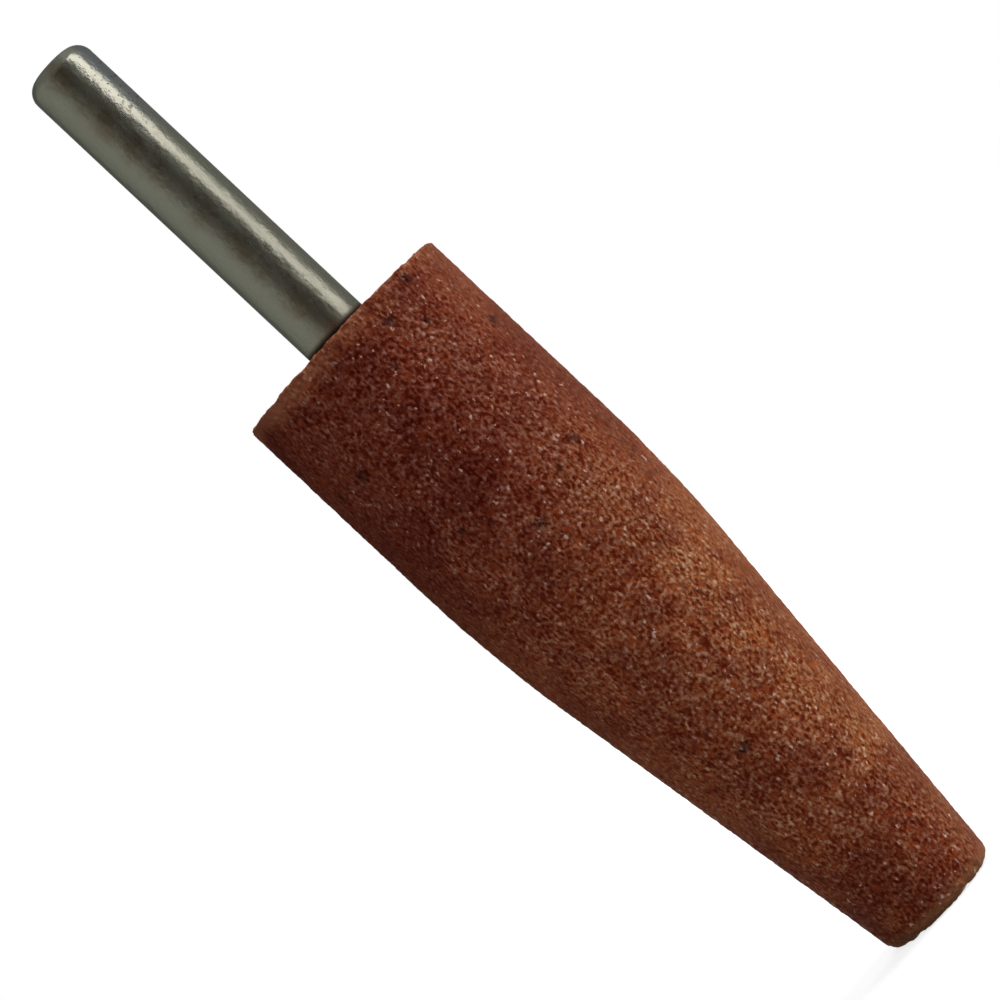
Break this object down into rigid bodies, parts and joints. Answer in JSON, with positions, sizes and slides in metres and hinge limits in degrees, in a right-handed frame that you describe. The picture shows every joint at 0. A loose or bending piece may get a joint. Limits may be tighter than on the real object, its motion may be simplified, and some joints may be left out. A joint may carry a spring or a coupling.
{
  "type": "mounted point",
  "caption": "Mounted point: a tapered, flat-tipped abrasive stone cemented on a plain round steel shank that a grinder's collet grips.",
  "frame": {"origin": "centre of the flat tip face", "axes": "+Z along the axis of revolution, from the tip towards the free end of the shank"},
  "size_m": [0.0204, 0.0204, 0.095],
  "materials": {
    "stone": "matte",
    "steel": "satin",
    "bond": "matte"
  },
  "bodies": {
    "root": {"abrasive_head": "stone", "mandrel": "steel", "cement": "bond"}
  },
  "joints": []
}
